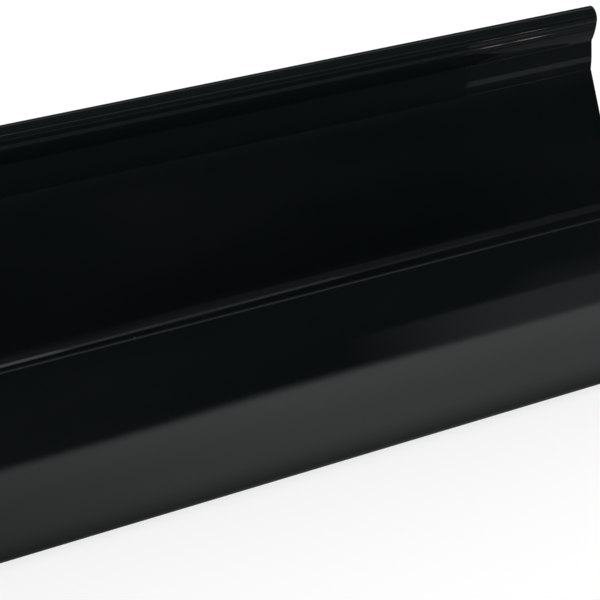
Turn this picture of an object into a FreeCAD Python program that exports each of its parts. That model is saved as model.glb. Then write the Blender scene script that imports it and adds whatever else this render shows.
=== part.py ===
"""Length of moulded rain gutter, extruded in one piece.

Axes: X along the length, Y from the flat back (fixed to the wall of the
building) to the moulded front, Z up. The bottom of the flat base is Z = 0
and the origin is in the middle of the plan.
"""
import FreeCAD, Part
import Sketcher
import os

os.makedirs("parts", exist_ok=True)
doc = FreeCAD.newDocument("GutterLength")

# ---------------------------------------------------------------- sizes, mm
sizes = doc.addObject("Spreadsheet::Sheet", "Sizes")
values = [
    ("stockLength", 2000, "length as sold"),
    ("overallWidth", 115, "back face to the outside of the front lip"),
    ("overallDepth", 75, "underside to the top of back and bead"),
    ("wall", 2, "thickness all over"),
    ("footWidth", 69.2, "back face to where base and front would meet"),
    ("neckFootInset", 8.7, "lip face back to the foot of the neck"),
    ("neckFootDrop", 24, "top down to the foot of the neck"),
    ("neckTopInset", 5.5, "lip face back to the top of the neck"),
    ("neckTopDrop", 12.3, "top down to the top of the neck"),
    ("beadWidth", 6.8, "nose of the bead to the lip face"),
    ("beadDrop", 8.5, "top down to the lower end of the nose"),
    ("lipDrop", 14, "top down to the free edge of the lip"),
    ("beadRadius", 4.2, "from the top of the bead down to its nose"),
    ("lipRadius", 2.4, "from the top of the bead down to the lip"),
    ("noseRadius", 18, "under the nose of the bead"),
    ("throatRadius", 1, "between bead and neck, inside"),
    ("neckFootRadius", 6, "between neck and front slope, inside"),
    ("bellyRadius", 30.7, "between front slope and base, inside"),
    ("heelRadius", 6, "between base and back, inside"),
    ("edgeRadius", 0.8, "free edges of back and lip"),
]
for row, (name, value, note) in enumerate(values, start=1):
    sizes.set("A%d" % row, name)
    sizes.set("B%d" % row, str(value))
    sizes.setAlias("B%d" % row, name)
    sizes.set("C%d" % row, note)
doc.recompute()


def value(name):
    return float(sizes.get(name))


def origin_plane(body, role):
    for feature in body.Origin.OriginFeatures:
        if feature.Role == role:
            return feature
    raise RuntimeError("no plane " + role)


# ------------------------------------------------------------- the section
body = doc.addObject("PartDesign::Body", "gutter_length")
body.Label = "gutter_length"
section = body.newObject("Sketcher::SketchObject", "Section")
section.AttachmentSupport = (origin_plane(body, "YZ_Plane"), [""])
section.MapMode = "FlatFace"

width = value("overallWidth")
depth = value("overallDepth")
wall = value("wall")
foot = value("footWidth")
neckFoot = (width - value("neckFootInset"), depth - value("neckFootDrop"))
neckTop = (width - value("neckTopInset"), depth - value("neckTopDrop"))
noseY = width - value("beadWidth")
noseZ = depth - value("beadDrop")
lipZ = depth - value("lipDrop")

# water side from the top of the back round to the free edge of the lip,
# then the outer side from there back to the top of the back
corners = [
    ("backTopInside", wall, depth),
    ("heelInside", wall, wall),
    ("footInside", foot, wall),
    ("neckFootInside", neckFoot[0], neckFoot[1]),
    ("neckTopInside", neckTop[0], neckTop[1]),
    ("noseLow", noseY, noseZ),
    ("noseTop", noseY, depth),
    ("lipTop", width, depth),
    ("lipEdge", width, lipZ),
    ("lipEdgeInside", width - wall, lipZ),
    ("lipTopInside", width - wall, depth - wall),
    ("noseTopInside", noseY + wall, depth - wall),
    ("noseLowInside", noseY + wall, noseZ),
    ("neckTopOutside", neckTop[0] + wall, neckTop[1]),
    ("neckFootOutside", neckFoot[0] + wall, neckFoot[1]),
    ("footOutside", foot + wall, 0),
    ("heelOutside", 0, 0),
    ("backTopOutside", 0, depth),
]
names = [corner[0] for corner in corners]
count = len(corners)
sides = []
for number in range(count):
    here = corners[number]
    after = corners[(number + 1) % count]
    sides.append(Part.LineSegment(
        FreeCAD.Vector(here[1], here[2], 0),
        FreeCAD.Vector(after[1], after[2], 0)))
section.addGeometry(sides, False)


def side(name):
    """Number of the side that starts at the named corner."""
    return names.index(name)


def rule(*words):
    return section.addConstraint(Sketcher.Constraint(*words))


def place(corner, across, up):
    """Tie a corner to sizes, measured from the back face and the base."""
    start = corners[side(corner)]
    for kind, text, near in (("DistanceX", across, start[1]),
                             ("DistanceY", up, start[2])):
        if text is None:
            continue
        number = rule(kind, -1, 1, side(corner), 1, near)
        section.setExpression("Constraints[%d]" % number, text)


for number in range(count):
    rule("Coincident", number, 2, (number + 1) % count, 1)
for name in ("heelInside", "noseTop", "lipEdge", "lipTopInside",
             "footOutside", "backTopOutside"):
    rule("Horizontal", side(name))
for name in ("backTopInside", "noseLow", "lipTop", "lipEdgeInside",
             "noseTopInside", "heelOutside"):
    rule("Vertical", side(name))
rule("Coincident", side("heelOutside"), 1, -1, 1)
place("lipTop", "Sizes.overallWidth", "Sizes.overallDepth")
place("backTopOutside", None, "Sizes.overallDepth")
place("heelInside", "Sizes.wall", "Sizes.wall")
place("footInside", "Sizes.footWidth", None)
place("neckFootInside", "Sizes.overallWidth - Sizes.neckFootInset",
      "Sizes.overallDepth - Sizes.neckFootDrop")
place("neckTopInside", "Sizes.overallWidth - Sizes.neckTopInset",
      "Sizes.overallDepth - Sizes.neckTopDrop")
place("noseLow", "Sizes.overallWidth - Sizes.beadWidth",
      "Sizes.overallDepth - Sizes.beadDrop")
place("lipEdge", None, "Sizes.overallDepth - Sizes.lipDrop")
place("lipTopInside", "Sizes.overallWidth - Sizes.wall",
      "Sizes.overallDepth - Sizes.wall")
place("noseTopInside",
      "Sizes.overallWidth - Sizes.beadWidth + Sizes.wall", None)
# the outer side of front slope, neck and underside of the bead runs
# parallel to the water side, one wall thickness off
for outer, inner in (("neckFootOutside", "footInside"),
                     ("neckTopOutside", "neckFootInside"),
                     ("noseLowInside", "neckTopInside")):
    rule("Parallel", side(outer), side(inner))
    number = rule("Distance", side(outer), 1, side(inner), wall)
    section.setExpression("Constraints[%d]" % number, "Sizes.wall")
doc.recompute()

# -------------------------------------------------------------- extrusion
bar = body.newObject("PartDesign::Pad", "Bar")
bar.Profile = section
bar.setExpression("Length", "Sizes.stockLength")
doc.recompute()

section.Visibility = False
points = {}
for number in range(count):
    start = section.Geometry[number].StartPoint
    points[names[number]] = (start.x, start.y)


def long_edges(feature, wanted):
    """Names of the edges along the length that stand at these corners."""
    found = []
    for name in wanted:
        across, up = points[name]
        for number, edge in enumerate(feature.Shape.Edges, start=1):
            ends = [vertex.Point for vertex in edge.Vertexes]
            if len(ends) != 2 or abs(ends[0].x - ends[1].x) < 1:
                continue
            if max(abs(ends[0].y - across), abs(ends[0].z - up)) < 0.01:
                found.append("Edge%d" % number)
    if len(found) != len(wanted):
        raise RuntimeError("edges missing at " + ", ".join(wanted))
    return found


def round_off(title, before, wanted, text):
    feature = body.newObject("PartDesign::Fillet", title)
    feature.Base = (before, long_edges(before, wanted))
    feature.setExpression("Radius", text)
    doc.recompute()
    return feature


belly = round_off("Belly", bar, ["footInside"], "Sizes.bellyRadius")
bellyBack = round_off("BellyBack", belly, ["footOutside"],
                      "Sizes.bellyRadius + Sizes.wall")
heel = round_off("Heel", bellyBack, ["heelInside"], "Sizes.heelRadius")
heelBack = round_off("HeelBack", heel, ["heelOutside"],
                     "Sizes.heelRadius + Sizes.wall")
neck = round_off("Neck", heelBack, ["neckFootInside"],
                 "Sizes.neckFootRadius")
neckBack = round_off("NeckBack", neck, ["neckFootOutside"],
                     "Sizes.neckFootRadius + Sizes.wall")
throat = round_off("Throat", neckBack, ["neckTopInside"],
                   "Sizes.throatRadius")
throatBack = round_off("ThroatBack", throat, ["neckTopOutside"],
                       "Sizes.throatRadius + Sizes.wall")
nose = round_off("Nose", throatBack, ["noseLow"], "Sizes.noseRadius")
noseBack = round_off("NoseBack", nose, ["noseLowInside"],
                     "Sizes.noseRadius - Sizes.wall")
bead = round_off("Bead", noseBack, ["noseTop"], "Sizes.beadRadius")
beadBack = round_off("BeadBack", bead, ["noseTopInside"],
                     "Sizes.beadRadius - Sizes.wall")
lip = round_off("Lip", beadBack, ["lipTop"], "Sizes.lipRadius")
lipBack = round_off("LipBack", lip, ["lipTopInside"],
                    "Sizes.lipRadius - Sizes.wall")
edges = round_off("FreeEdges", lipBack,
                  ["backTopInside", "backTopOutside",
                   "lipEdge", "lipEdgeInside"], "Sizes.edgeRadius")
body.Tip = edges
body.setExpression("Placement.Base.x", "-Sizes.stockLength / 2")
body.setExpression("Placement.Base.y", "-Sizes.overallWidth / 2")
doc.recompute()

# ------------------------------------------------------------------ export
for item in doc.Objects:
    if "Invalid" in item.State or "Error" in item.State:
        raise RuntimeError(item.Name + " did not build")
shape = body.Shape
if shape.isNull() or not shape.isValid() or len(shape.Solids) != 1:
    raise RuntimeError("the gutter is not one sound solid")
shape.exportStep("parts/" + body.Label + ".step")
box = shape.BoundBox
centre = shape.Solids[0].CenterOfMass
print("length %.1f width %.1f depth %.1f" % (
    box.XLength, box.YLength, box.ZLength))
print("volume %.1f cm3, centre of mass y %.2f z %.2f" % (
    shape.Volume / 1000, centre.y, centre.z))
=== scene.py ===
import math

import bpy
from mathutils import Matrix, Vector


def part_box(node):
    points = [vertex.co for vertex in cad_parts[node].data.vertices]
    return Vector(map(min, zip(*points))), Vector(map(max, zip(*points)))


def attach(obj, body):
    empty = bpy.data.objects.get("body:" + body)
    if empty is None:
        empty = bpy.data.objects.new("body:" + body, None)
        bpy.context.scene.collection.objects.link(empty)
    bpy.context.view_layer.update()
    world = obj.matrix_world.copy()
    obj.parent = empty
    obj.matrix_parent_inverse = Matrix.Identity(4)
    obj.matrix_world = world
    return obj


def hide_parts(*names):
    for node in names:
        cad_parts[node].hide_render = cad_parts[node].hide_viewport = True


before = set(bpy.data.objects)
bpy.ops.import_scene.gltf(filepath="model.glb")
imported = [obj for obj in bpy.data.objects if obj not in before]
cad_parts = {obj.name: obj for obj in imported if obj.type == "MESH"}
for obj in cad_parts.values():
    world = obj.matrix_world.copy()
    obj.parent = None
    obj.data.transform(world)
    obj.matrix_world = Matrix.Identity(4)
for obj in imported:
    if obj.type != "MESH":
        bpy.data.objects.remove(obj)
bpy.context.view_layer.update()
lowCorner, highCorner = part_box("gutter_length")
print("frame loaded")


def clearSelection():
    if bpy.context.object and bpy.context.object.mode != "OBJECT":
        bpy.ops.object.mode_set(mode="OBJECT")
    bpy.ops.object.select_all(action="DESELECT")


def addNode(tree, kind, **settings):
    node = tree.nodes.new(kind)
    for name, value in settings.items():
        setattr(node, name, value)
    return node


def setInputs(node, **values):
    for name, value in values.items():
        node.inputs[name.replace("_", " ")].default_value = value
    return node


def maths(tree, operation, first, second=0.0):
    node = addNode(tree, "ShaderNodeMath", operation=operation)
    for socket, value in zip(node.inputs, (first, second)):
        if isinstance(value, (int, float)):
            socket.default_value = value
        else:
            tree.links.new(value, socket)
    return node.outputs[0]


def product(tree, first, second):
    return maths(tree, "MULTIPLY", first, second)


def larger(tree, first, second):
    return maths(tree, "MAXIMUM", first, second)


def ramped(tree, value, start, end, low=0.0, high=1.0):
    node = addNode(tree, "ShaderNodeMapRange", interpolation_type="SMOOTHSTEP")
    setInputs(node, From_Min=start, From_Max=end, To_Min=low, To_Max=high)
    tree.links.new(value, node.inputs["Value"])
    return node.outputs[0]


def ramps(tree, value, *spans):  # several ramps on one value, multiplied
    whole = ramped(tree, value, *spans[0])
    for span in spans[1:]:
        whole = product(tree, whole, ramped(tree, value, *span))
    return whole


def splitVector(tree, socket):
    split = addNode(tree, "ShaderNodeSeparateXYZ")
    tree.links.new(socket, split.inputs[0])
    return split.outputs["X"], split.outputs["Y"], split.outputs["Z"]


# the gutter, in metres: its path runs along the water side, back to front
gutter = {
    "wall": 0.002,
    "heelRadius": 0.006,
    "bellyRadius": 0.0307,
    "footWidth": 0.0692,
    "neckSwellInset": 0.00735,  # the neck swells a little above the slope
    "neckSwellDrop": 0.0188,
    "neckSwellRadius": 0.020,
    "neckQuirkInset": 0.00794,
    "neckQuirkDrop": 0.023,
    "neckQuirkRadius": 0.0008,
    "neckTopInset": 0.0055,
    "neckTopDrop": 0.0123,
    "throatRadius": 0.001,
    "beadWidth": 0.0068,
    "beadDrop": 0.0085,
    "noseRadius": 0.018,
    "beadRadius": 0.0042,
    "lipRadius": 0.0024,
    "lipDrop": 0.014,
    "edgeRadius": 0.0008,
    "rimInsideRadius": 0.0014,
    "rimOutsideRadius": 0.0002,
    "edgeSteps": 6,
    "sawnEdge": 0.0002,
    "sawnSteps": 2,
    "bays": 20,
    "smoothAngle": 35,
}


def sectionCorners(size):
    back, front, top = lowCorner.y, highCorner.y, highCorner.z
    nose = front - size["beadWidth"]
    return [  # across, up, rounding, steps
        (back + size["wall"], top, 0, 1),
        (back + size["wall"], size["wall"], size["heelRadius"], 14),
        (back + size["footWidth"], size["wall"], size["bellyRadius"], 48),
        (front - size["neckQuirkInset"], top - size["neckQuirkDrop"], size["neckQuirkRadius"], 10),
        (front - size["neckSwellInset"], top - size["neckSwellDrop"], size["neckSwellRadius"], 12),
        (front - size["neckTopInset"], top - size["neckTopDrop"], size["throatRadius"], 10),
        (nose, top - size["beadDrop"], size["noseRadius"], 16),
        (nose, top, size["beadRadius"], 24),
        (front, top, size["lipRadius"], 20),
        (front, top - size["lipDrop"], 0, 1),
    ]


def drawPath(corners):
    here = corners[0][:2]
    bpy.ops.mesh.primitive_plane_add(size=0.001, location=(lowCorner.x, *here))
    bpy.ops.object.mode_set(mode="EDIT")
    bpy.ops.mesh.select_all(action="SELECT")
    bpy.ops.mesh.merge(type="CENTER")
    for before, corner, after in zip(corners, corners[1:], corners[2:]):
        heading = math.atan2(corner[1] - before[1], corner[0] - before[0])
        onward = math.atan2(after[1] - corner[1], after[0] - corner[0])
        turn = (onward - heading + math.pi) % (2 * math.pi) - math.pi
        radius, steps = corner[2], corner[3]
        cut = radius * math.tan(abs(turn) / 2)
        start = (corner[0] - cut * math.cos(heading), corner[1] - cut * math.sin(heading))
        if math.dist(here, start) > 1e-6:  # straight run up to the bend
            bpy.ops.mesh.extrude_region_move(TRANSFORM_OT_translate={
                "value": (0, start[0] - here[0], start[1] - here[1])})
        side = math.copysign(radius, turn)
        centre = (start[0] - side * math.sin(heading), start[1] + side * math.cos(heading))
        bpy.ops.mesh.spin(steps=steps, angle=-turn, use_auto_merge=False,
                          center=(lowCorner.x, *centre), axis=(1, 0, 0))
        here = (corner[0] + cut * math.cos(onward), corner[1] + cut * math.sin(onward))
    last = corners[-1]
    bpy.ops.mesh.extrude_region_move(TRANSFORM_OT_translate={
        "value": (0, last[0] - here[0], last[1] - here[1])})


def selectEdges(piece, wanted):
    bpy.ops.mesh.select_all(action="DESELECT")
    bpy.ops.object.mode_set(mode="OBJECT")
    points = piece.data.vertices
    for edge in piece.data.edges:
        ends = [points[n].co for n in edge.vertices]
        edge.select = wanted(ends[0], ends[1])
    bpy.ops.object.mode_set(mode="EDIT")


def makeGutter(size):
    clearSelection()
    drawPath(sectionCorners(size))
    bpy.ops.object.mode_set(mode="OBJECT")
    piece = bpy.context.object
    piece.name = "gutter_profile"
    bpy.ops.object.transform_apply(location=True, rotation=True, scale=True)
    bpy.ops.object.mode_set(mode="EDIT")
    bpy.ops.mesh.select_all(action="SELECT")
    bpy.ops.mesh.remove_doubles(threshold=1e-6)
    bay = (highCorner.x - lowCorner.x) / size["bays"]
    for _ in range(size["bays"]):  # pulled out of the die bay by bay
        bpy.ops.mesh.extrude_region_move(TRANSFORM_OT_translate={"value": (bay, 0, 0)})
    bpy.ops.mesh.select_all(action="SELECT")
    bpy.ops.mesh.normals_make_consistent(inside=False)
    bpy.ops.object.mode_set(mode="OBJECT")
    # the water side is the skin, so the wall grows away from it
    base = min(piece.data.polygons, key=lambda face: face.center.z)
    wall = piece.modifiers.new("wall", "SOLIDIFY")
    wall.thickness = size["wall"]
    wall.offset = -1 if base.normal.z > 0 else 1
    wall.use_even_offset = True
    bpy.ops.object.modifier_apply(modifier="wall")
    bpy.ops.object.mode_set(mode="EDIT")
    bpy.ops.mesh.select_all(action="SELECT")
    bpy.ops.mesh.normals_make_consistent(inside=False)
    near = 1e-5
    lipEnd = highCorner.z - size["lipDrop"]

    def rimInside(a, b):
        return a.z > highCorner.z - near and size["wall"] / 2 < a.y - lowCorner.y < size["wall"] * 1.5

    def rimOutside(a, b):
        return a.z > highCorner.z - near and a.y < lowCorner.y + near

    def lipEdges(a, b):
        return abs(a.z - lipEnd) < near and a.y > highCorner.y - size["wall"] * 1.5

    for belongs, radius in ((rimInside, "rimInsideRadius"), (rimOutside, "rimOutsideRadius"),
                            (lipEdges, "edgeRadius")):
        selectEdges(piece, lambda a, b: abs(a.x - b.x) > near and belongs(a, b))
        bpy.ops.mesh.bevel(offset=size[radius], segments=size["edgeSteps"], profile=0.5,
                           affect="EDGES")

    # the saw cuts have their arrises just broken
    bpy.ops.mesh.select_mode(type="FACE")
    bpy.ops.mesh.select_all(action="DESELECT")
    bpy.ops.object.mode_set(mode="OBJECT")
    for face in piece.data.polygons:
        face.select = abs(face.normal.x) > 0.99
    bpy.ops.object.mode_set(mode="EDIT")
    bpy.ops.mesh.region_to_loop()
    bpy.ops.mesh.bevel(offset=size["sawnEdge"], segments=size["sawnSteps"], profile=0.5,
                       affect="EDGES", clamp_overlap=True)
    bpy.ops.object.mode_set(mode="OBJECT")
    bpy.ops.object.shade_smooth_by_angle(angle=math.radians(size["smoothAngle"]))
    weight = piece.modifiers.new("evenShading", "WEIGHTED_NORMAL")
    weight.keep_sharp = True
    weight.weight = 100
    bpy.ops.object.modifier_apply(modifier="evenShading")
    print("gutter made,", len(piece.data.polygons), "faces")
    return piece


gutterPiece = makeGutter(gutter)
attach(gutterPiece, "root")
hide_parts("gutter_length")


# black gloss plastic
blackPlastic = {
    "colour": (0.0023, 0.0034, 0.0038),
    "mottle": (0.0036, 0.0047, 0.0050),
    # painted light: the paler colour of the bead and neck, lightening their shade
    "paintedNeckLight": (0.0046, 0.0062, 0.0066),
    "sawn": (0.012, 0.0135, 0.0135),
    "dust": (0.022, 0.022, 0.020),
    "rough": 0.055,
    "dullRough": 0.125,
    "sawnRough": 0.55,
    "ior": 1.49,
    "lineHeight": 0.0000045,
    "peelHeight": 0.0000020,
    "sawHeight": 0.00003,
    "dustHeight": 0.00004,
    "endMargin": 0.0004,
    "beadLineUp": (0.0680, 0.0713, 0, -1),  # a soft line moulded along the bead
    "beadLineAcross": (0.044, 0.045),
    "beadLineDepth": 0.00088,
    "paintedNeckLightAcross": (0.042, 0.049),  # painted light: a paler colour on the bead and neck lightens their shade
    "paintedNeckLightUp": (0.048, 0.055),
    "speckScale": 45,
    "speckSize": (0.012, 0.020, 1, 0),
    "speckShare": (0.70, 0.72),
    "cloudStretch": (9, 30, 30),
    "cloudSpan": (0.35, 0.65),
    "streakStretch": (0.7, 500, 500),
    "streakShare": 0.5,
    "handledStretch": (14, 22, 22),
    "handledSpan": (0.50, 0.72),
    "handledShare": 0.6,
    "dullSpan": (0.15, 0.95),
    "lineStretch": (0.4, 420, 420),
    "peelStretch": (230, 230, 230),
    "sawStretch": (40, 60, 1800),
}


def placed(tree):
    return addNode(tree, "ShaderNodeTexCoord").outputs["Object"]


def stretchedNoise(tree, stretch, detail=2.0, rough=0.5):
    scale = addNode(tree, "ShaderNodeMapping")
    scale.inputs["Scale"].default_value = stretch
    tree.links.new(placed(tree), scale.inputs["Vector"])
    noise = setInputs(addNode(tree, "ShaderNodeTexNoise"), Scale=1.0, Detail=detail, Roughness=rough)
    tree.links.new(scale.outputs[0], noise.inputs["Vector"])
    return noise.outputs[0]


def mixed(tree, amount, first, second):
    mix = addNode(tree, "ShaderNodeMix", data_type="RGBA")
    tree.links.new(amount, mix.inputs["Factor"])
    for socket, value in ((mix.inputs[6], first), (mix.inputs[7], second)):
        if isinstance(value, tuple):
            socket.default_value = (*value, 1)
        else:
            tree.links.new(value, socket)
    return mix.outputs[2]


def sawnMask(tree, margin):
    along = maths(tree, "ABSOLUTE", splitVector(tree, placed(tree))[0])
    return ramped(tree, along, highCorner.x - margin, highCorner.x - margin / 4)


def dustMask(tree, look):
    cells = setInputs(addNode(tree, "ShaderNodeTexVoronoi"), Scale=look["speckScale"], Randomness=1.0)
    tree.links.new(placed(tree), cells.inputs["Vector"])
    speck = ramped(tree, cells.outputs["Distance"], *look["speckSize"])
    chosen = ramped(tree, splitVector(tree, cells.outputs["Color"])[0], *look["speckShare"])
    return product(tree, speck, chosen)


def sectionMask(tree, acrossSpan, upSpan):
    _, across, up = splitVector(tree, placed(tree))
    return product(tree, ramped(tree, across, *acrossSpan), ramped(tree, up, *upSpan))


def raised(tree, height, distance, under=None):
    bump = setInputs(addNode(tree, "ShaderNodeBump"), Strength=1.0, Distance=distance)
    tree.links.new(height, bump.inputs["Height"])
    if under:
        tree.links.new(under, bump.inputs["Normal"])
    return bump.outputs[0]


def makeBlackPlastic(look):
    material = bpy.data.materials.new("blackPlastic")
    material.use_nodes = True
    tree = material.node_tree
    tree.nodes.clear()
    out = addNode(tree, "ShaderNodeOutputMaterial")
    body = setInputs(addNode(tree, "ShaderNodeBsdfPrincipled"), IOR=look["ior"])
    tree.links.new(body.outputs[0], out.inputs["Surface"])
    sawn, dust = sawnMask(tree, look["endMargin"]), dustMask(tree, look)
    # colour: faint clouding, a paler colour painted on the bead and neck as light in their shade,
    # pale saw cuts, a few specks
    cloud = ramped(tree, stretchedNoise(tree, look["cloudStretch"], 4), *look["cloudSpan"])
    colour = mixed(tree, cloud, look["colour"], look["mottle"])
    # painted light on the bead and neck
    paintedNeckLight = sectionMask(tree, look["paintedNeckLightAcross"], look["paintedNeckLightUp"])
    colour = mixed(tree, paintedNeckLight, colour, look["paintedNeckLight"])
    colour = mixed(tree, sawn, colour, look["sawn"])
    tree.links.new(mixed(tree, dust, colour, look["dust"]), body.inputs["Base Color"])
    # sheen: streaks left by the die, duller where it was handled
    streaks = stretchedNoise(tree, look["streakStretch"], 3)
    handled = ramped(tree, stretchedNoise(tree, look["handledStretch"], 5, 0.6), *look["handledSpan"])
    dullness = maths(tree, "ADD", product(tree, streaks, look["streakShare"]),
                     product(tree, handled, look["handledShare"]))
    rough = ramped(tree, dullness, *look["dullSpan"], look["rough"], look["dullRough"])
    rough = larger(tree, rough, product(tree, larger(tree, sawn, dust), look["sawnRough"]))
    tree.links.new(rough, body.inputs["Roughness"])
    # relief: die lines along the length, a slight orange peel, saw marks on the ends
    lines = raised(tree, stretchedNoise(tree, look["lineStretch"], 2), look["lineHeight"])
    peel = raised(tree, stretchedNoise(tree, look["peelStretch"], 1), look["peelHeight"], lines)
    sawMarks = product(tree, stretchedNoise(tree, look["sawStretch"], 3), sawn)
    marks = raised(tree, sawMarks, look["sawHeight"], peel)
    beadLine = sectionMask(tree, look["beadLineAcross"], look["beadLineUp"])
    marks = raised(tree, beadLine, look["beadLineDepth"], marks)
    tree.links.new(raised(tree, dust, look["dustHeight"], marks), body.inputs["Normal"])
    return material


gutterPiece.data.materials.clear()
gutterPiece.data.materials.append(makeBlackPlastic(blackPlastic))
print("plastic made")


# floor, backdrop and lamps; a span is start, end and the values at both, 0 and 1 if not given
studio = {
    "floorSize": 14,
    "floorWhite": 0.92,
    "floorBounce": 0.50,
    "shadowShare": 0.25,
    "air": 1.3,
    # the ground as the gloss shows it
    "tableDim": 0.022,
    "sheetTone": 0.81,  # a white sheet lies under the gutter, its edge beside the back
    "sheetEdge": -0.0965,
    "sheetBlur": 0.0024,
    "sheetSkew": (0.79, 0.85, 0, 0.0010),
    "stripEdge": -0.1113,  # a greyer one shows past it towards the cut end
    "stripBlur": 0.0015,
    "stripAlong": (0.860, 0.952, 0, 0.256),
    "fadeAcross": (-0.130, -0.1113, 0, 0.085),
    "fadeAlong": (0.925, 0.968),
    # painted contact shadow: the ground the gloss shows darkens towards the foot of the back wall
    "paintedContactShadow": ((-0.058, -0.072, 0.32, 1), (-0.079, -0.092, 0.88, 1)),
    # painted lamp falloff: the ground the gloss shows is dimmer towards both ends
    "lightAlong": ((0.72, 0.86, 0.66, 1), (0.86, 0.99, 1, 0.84)),
    "pastEnd": (1.004, 1.008),
    "nearEnd": (-0.036, -0.012, 0, 0.19),
    "farAway": ((-0.75, -0.60), (-0.17, -0.11, 0.25, 0)),
    # the room as the gloss shows it, by degrees of climb and by heading
    "roomDim": 0.011,
    "ceilingTone": 0.12,
    "ceilingLow": (38.8, 41.8),
    "ceilingHigh": (53.5, 56.0, 1, 0),
    "ceilingTilt": 11.5,
    "ceilingAlong": (0.02, 0.30, 0.3, 1),
    "ceilingWhole": (42, 47),
    "skirting": ((0.02, 0.05), (0.16, 0.24, 0.12, 0)),
    "farSideAcross": (0.05, 0.15),
    "farSideUp": ((0.52, 0.56), (0.70, 0.75, 0.34, 0)),
}


def mixByRay(tree, rayKind, usual, special):
    path = addNode(tree, "ShaderNodeLightPath")
    mix = addNode(tree, "ShaderNodeMixShader")
    tree.links.new(path.outputs[rayKind], mix.inputs[0])
    tree.links.new(usual.outputs[0], mix.inputs[1])
    tree.links.new(special.outputs[0], mix.inputs[2])
    return mix


def mirroredFloor(tree, look):
    place = addNode(tree, "ShaderNodeNewGeometry")
    along, across, _ = splitVector(tree, place.outputs["Position"])
    across = maths(tree, "ADD", across, ramped(tree, along, *look["sheetSkew"]))
    # painted contact shadow near the foot of the back wall
    paintedContactShadow = ramps(tree, across, *look["paintedContactShadow"])
    edge, blur = look["sheetEdge"], look["sheetBlur"]
    sheet = product(tree, product(tree, ramped(tree, across, edge - blur, edge + blur), paintedContactShadow),
                    look["sheetTone"])
    edge, blur = look["stripEdge"], look["stripBlur"]
    strip = product(tree, ramped(tree, across, edge - blur, edge + blur),
                    ramped(tree, along, *look["stripAlong"]))
    fade = product(tree, ramped(tree, across, *look["fadeAcross"]),
                   ramped(tree, along, *look["fadeAlong"]))
    under = product(tree, larger(tree, strip, fade), paintedContactShadow)
    besideGutter = ramped(tree, along, *look["pastEnd"], 1, 0)
    pastEnd = ramped(tree, along, *look["pastEnd"])
    onGround = product(tree, larger(tree, sheet, under), besideGutter)
    nearEnd = product(tree, ramped(tree, across, *look["nearEnd"]), pastEnd)
    farAway = product(tree, ramps(tree, across, *look["farAway"]), pastEnd)
    tone = larger(tree, onGround, larger(tree, nearEnd, farAway))
    # painted lamp falloff along the length
    for span in look["lightAlong"]:
        tone = product(tree, tone, ramped(tree, along, *span))
    mirrored = addNode(tree, "ShaderNodeBsdfDiffuse")
    tree.links.new(larger(tree, tone, look["tableDim"]), mirrored.inputs["Color"])
    return mirrored


def floorMaterial(look):
    material = bpy.data.materials.new("paleFloor")
    material.use_nodes = True
    tree = material.node_tree
    tree.nodes.clear()
    out = addNode(tree, "ShaderNodeOutputMaterial")
    white = setInputs(addNode(tree, "ShaderNodeEmission"), Color=(1, 1, 1, 1), Strength=1.0)
    matt = setInputs(addNode(tree, "ShaderNodeBsdfDiffuse"),
                     Color=(look["floorWhite"],) * 3 + (1,))
    dimmer = setInputs(addNode(tree, "ShaderNodeBsdfDiffuse"),
                       Color=(look["floorBounce"],) * 3 + (1,))
    seen = setInputs(addNode(tree, "ShaderNodeMixShader"), Fac=look["shadowShare"])
    tree.links.new(white.outputs[0], seen.inputs[1])
    tree.links.new(matt.outputs[0], seen.inputs[2])
    plain = mixByRay(tree, "Is Glossy Ray", dimmer, mirroredFloor(tree, look))
    whole = mixByRay(tree, "Is Camera Ray", plain, seen)
    tree.links.new(whole.outputs[0], out.inputs["Surface"])
    return material


def makeFloor(look):
    clearSelection()
    bpy.ops.mesh.primitive_plane_add(size=look["floorSize"], location=(0, 0, 0))
    floor = bpy.context.object
    floor.name = "floor"
    floor.data.materials.append(floorMaterial(look))


def roomTone(tree, look):
    way = addNode(tree, "ShaderNodeTexCoord")
    along, across, up = splitVector(tree, way.outputs["Generated"])
    climb = maths(tree, "DEGREES", maths(tree, "ARCTAN2", up, product(tree, across, -1.0)))
    tilted = maths(tree, "ADD", climb, product(tree, along, look["ceilingTilt"]))
    ceiling = product(tree, ramped(tree, climb, *look["ceilingLow"]),
                      ramped(tree, tilted, *look["ceilingHigh"]))
    reach = larger(tree, ramped(tree, along, *look["ceilingAlong"]),
                   ramped(tree, climb, *look["ceilingWhole"]))
    ceiling = product(tree, product(tree, ceiling, reach), look["ceilingTone"])
    skirting = ramps(tree, up, *look["skirting"])
    farSide = product(tree, ramped(tree, across, *look["farSideAcross"]),
                      ramps(tree, up, *look["farSideUp"]))
    lit = larger(tree, larger(tree, ceiling, skirting), farSide)
    return maths(tree, "ADD", lit, look["roomDim"])


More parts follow.
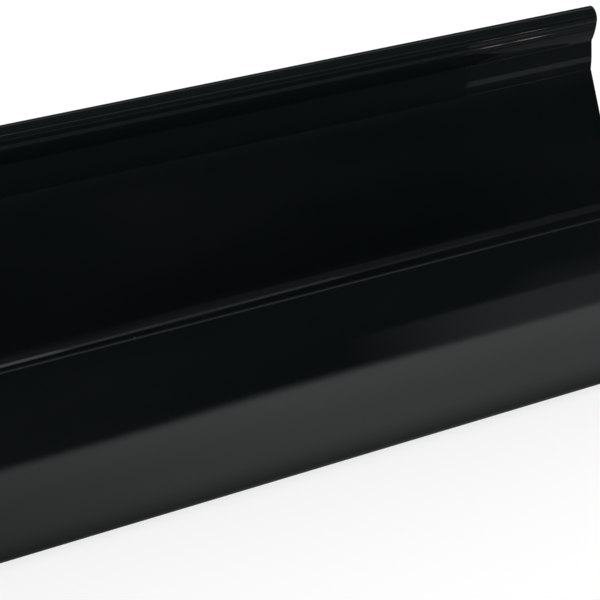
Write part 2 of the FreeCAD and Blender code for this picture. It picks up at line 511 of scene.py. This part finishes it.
def makeWorld(look):
    world = bpy.data.worlds.new("studioAir")
    bpy.context.scene.world = world
    world.use_nodes = True
    tree = world.node_tree
    tree.nodes.clear()
    out = addNode(tree, "ShaderNodeOutputWorld")
    room = addNode(tree, "ShaderNodeBackground")
    tree.links.new(roomTone(tree, look), room.inputs["Color"])
    air = setInputs(addNode(tree, "ShaderNodeBackground"), Color=(1, 1, 1, 1),
                    Strength=look["air"])
    seen = setInputs(addNode(tree, "ShaderNodeBackground"), Color=(1, 1, 1, 1), Strength=1.0)
    plain = mixByRay(tree, "Is Glossy Ray", air, room)
    whole = mixByRay(tree, "Is Camera Ray", plain, seen)
    tree.links.new(whole.outputs[0], out.inputs["Surface"])


makeFloor(studio)
makeWorld(studio)


tubes = [  # lengths of tube lamp in line over the back side, dimmer along the gutter
    {"name": "tubeNear", "place": (0.74, -1.07, 1.5), "size": (0.38, 0.11), "power": 0.134},
    {"name": "tubeMiddle", "place": (1.225, -1.178, 1.5), "size": (0.59, 0.10), "power": 0.074},
    {"name": "tubeFar", "place": (1.71, -1.286, 1.5), "size": (0.38, 0.09), "power": 0.013},
]
tubeTurn = (36, 0, -12.6)

sparks = [  # small warm lamps that dot the bead
    {"name": "sparkNear", "place": (1.415, -0.84, 0.25), "size": (0.020, 0.030), "power": 0.008},
    {"name": "sparkFar", "place": (1.455, -0.82, 0.25), "size": (0.030, 0.030), "power": 0.018},
]
sparkTurn = (80, 0, 27)
sparkColour = (1, 0.86, 0.76)


def addLamp(look, turn, colour):
    lamp = bpy.data.lights.new(look["name"], "AREA")
    lamp.shape = "RECTANGLE"
    lamp.size, lamp.size_y = look["size"]
    lamp.energy = look["power"]
    lamp.color = colour
    holder = bpy.data.objects.new(look["name"], lamp)
    holder.location = look["place"]
    holder.rotation_euler = [math.radians(angle) for angle in turn]
    bpy.context.scene.collection.objects.link(holder)


for look in tubes:
    addLamp(look, tubeTurn, (1, 1, 1))
for look in sparks:
    addLamp(look, sparkTurn, sparkColour)
print("studio made")


# camera
cameraLook = {
    "place": (0.7566, -0.28505, 0.28386),
    "turn": (49.22, 0.483, -21.086),
    "lens": 72.9,
}
eye = bpy.data.cameras.new("eye")
eye.sensor_width = 36
eye.lens = cameraLook["lens"]
eye.clip_start = 0.01
camera = bpy.data.objects.new("eye", eye)
bpy.context.scene.collection.objects.link(camera)
camera.location = cameraLook["place"]
camera.rotation_euler = [math.radians(angle) for angle in cameraLook["turn"]]
bpy.context.scene.camera = camera
bpy.context.scene.view_settings.view_transform = "Standard"
